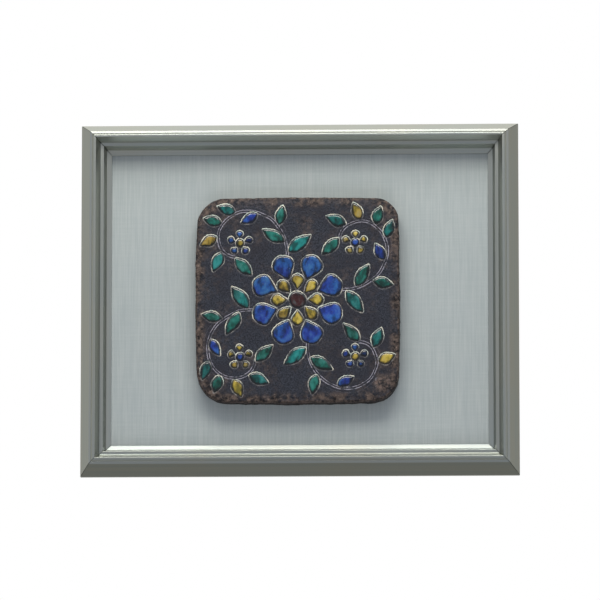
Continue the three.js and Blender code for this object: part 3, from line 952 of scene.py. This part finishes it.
def pale_lines(nodes, place):
    """How far the pale slip shows beside the enamel and in the incised lines, and its colour. It shows
    more, and brighter, on upward-facing edges as a painted highlight.
    """
    cell, line, pale = nodes.attribute("cell"), nodes.attribute("line"), nodes.attribute("pale")
    ragged = nodes.smooth(nodes.noise(place, LINE_RAGGED_SCALE, 2, 0.6), 0.2, 0.8, -0.3, 0.3)
    breaks = nodes.noise(place, LINE_BREAK_SCALE, 3, 0.6)
    beside = nodes.math("ABSOLUTE", nodes.math("ADD", nodes.math("ADD", cell, ragged), OUTLINE_PLACE_MM))
    outline = nodes.smooth(beside, *OUTLINE_FADE_MM)
    whole = nodes.math("ADD", breaks, nodes.math("MULTIPLY", pale, 0.4))
    outline = nodes.math("MULTIPLY", outline, nodes.smooth(whole, 0.42, 0.8, 0.12, 1))
    across = nodes.math("ADD", nodes.math("ABSOLUTE", line), nodes.math("MULTIPLY", ragged, 0.6))
    beside_line = nodes.math("ABSOLUTE", nodes.math("SUBTRACT", across, SCRATCH_PLACE_MM))
    scratch = nodes.smooth(beside_line, *SCRATCH_FADE_MM)
    scratch = nodes.math("MULTIPLY", scratch, nodes.attribute("reached"))
    scratch = nodes.math("MULTIPLY", scratch, nodes.smooth(breaks, 0.38, 0.56, 0.15, 0.9))
    slip = nodes.mix(nodes.smooth(breaks, 0.4, 0.6), colour(196, 206, 194), colour(226, 220, 200))
    tone = nodes.mix(nodes.smooth(pale, 0.2, 0.8), colour(128, 124, 122), slip)
    share = nodes.math("MAXIMUM", outline, scratch)
    browned = nodes.smooth(nodes.attribute("brown"), 0.5, 1)
    scratched = nodes.mix(browned, colour(160, 156, 168), colour(136, 114, 106))
    tone = nodes.mix(nodes.smooth(nodes.math("SUBTRACT", scratch, outline), 0, 0.3), tone, scratched)
    return share, tone


def enamel_tone(nodes, place):
    """Thick glaze: dark along its edge, with soft streaks and a few specks."""
    cell, glaze = nodes.attribute("cell"), nodes.attribute("glaze", "Color")
    axes = nodes.add("SeparateXYZ", {0: place}).outputs
    across = nodes.math("MULTIPLY", axes["X"], GLAZE_STREAKS_ACROSS)
    up = nodes.math("MULTIPLY", axes["Z"], GLAZE_STREAKS_UP)
    inwards = nodes.math("MULTIPLY", cell, GLAZE_STREAKS_INWARDS)
    flow = nodes.add("CombineXYZ", {0: across, 1: up, 2: inwards}).outputs[0]
    streaks = nodes.noise(flow, 1, 3, 0.5)
    patches = nodes.noise(place, GLAZE_PATCH_SCALE, 2, 0.5)
    specks = nodes.noise(place, GLAZE_SPECK_SCALE, 2, 0.6)
    body = nodes.mix(nodes.smooth(patches, 0.4, 0.65, 0, 0.75), glaze, nodes.attribute("patch", "Color"))
    body = nodes.mix(nodes.smooth(streaks, 0.56, 0.34, 0, 0.85), body, colour(122, 132, 134), "MULTIPLY")
    body = nodes.mix(nodes.smooth(streaks, 0.5, 0.7, 0, 0.6), body, colour(50, 84, 84), "SCREEN")
    body = nodes.mix(nodes.smooth(specks, 0.66, 0.76, 0, 0.3), body, colour(140, 150, 140))
    depth = nodes.math("ADD", cell, nodes.smooth(streaks, 0.3, 0.7, -0.5, 0.5))
    return nodes.mix(nodes.smooth(depth, *GLAZE_RIM_FADE_MM, 0.94, 0), body, colour(4, 10, 12))


def fired_clay():
    """Matt graphite clay, browner towards the rim, with pale incised lines and thick glossy enamel."""
    material = bpy.data.materials.new("fired_clay")
    nodes = Nodes(material)
    place = nodes.add("TexCoord").outputs["Object"]
    share, line_tone = pale_lines(nodes, place)
    clay = nodes.mix(share, clay_tone(nodes, place), line_tone)
    grain = nodes.noise(place, CLAY_GRAIN_SCALE, 4, 0.7)
    ragged = nodes.smooth(nodes.noise(place, ENAMEL_RAGGED_SCALE, 2, 0.6), 0.2, 0.8, -0.15, 0.15)
    enamel = nodes.smooth(nodes.math("ADD", nodes.attribute("cell"), ragged), *ENAMEL_FADE_MM)
    tone = nodes.mix(enamel, clay, enamel_tone(nodes, place))
    clay_gloss = nodes.smooth(grain, 0.3, 0.7, 0.5, 0.75)
    gloss = nodes.math("MULTIPLY_ADD", enamel, nodes.math("SUBTRACT", 0.1, clay_gloss), clay_gloss)
    roughness = nodes.smooth(enamel, 0, 1, 1, 0.06)
    relief = nodes.math("MULTIPLY", grain, roughness)
    bump = nodes.add("Bump", {"Strength": 0.6, "Distance": 0.0006, "Height": relief})
    nodes.surface(
        Base_Color=tone, Roughness=gloss, Specular_IOR_Level=0.25, Coat_Weight=enamel, Coat_Roughness=0.06,
        Coat_IOR=1.5, Normal=bump.outputs[0]
    )
    return material


bpy.context.scene.view_settings.view_transform = "Standard"
make_camera()
make_world()
for name, settings in SOFTBOXES.items():
    make_softbox(name, *settings)
make_floor()
metal_along_x = metal("satin_metal_along_x", 0)
metal_along_z = metal("satin_metal_along_z", 2)
for side, axis, material in (
    ("top", 0, metal_along_x),
    ("bottom", 0, metal_along_x),
    ("left", 2, metal_along_z),
    ("right", 2, metal_along_z),
):
    make_rail(side, axis, material)
make_board()
make_tile()
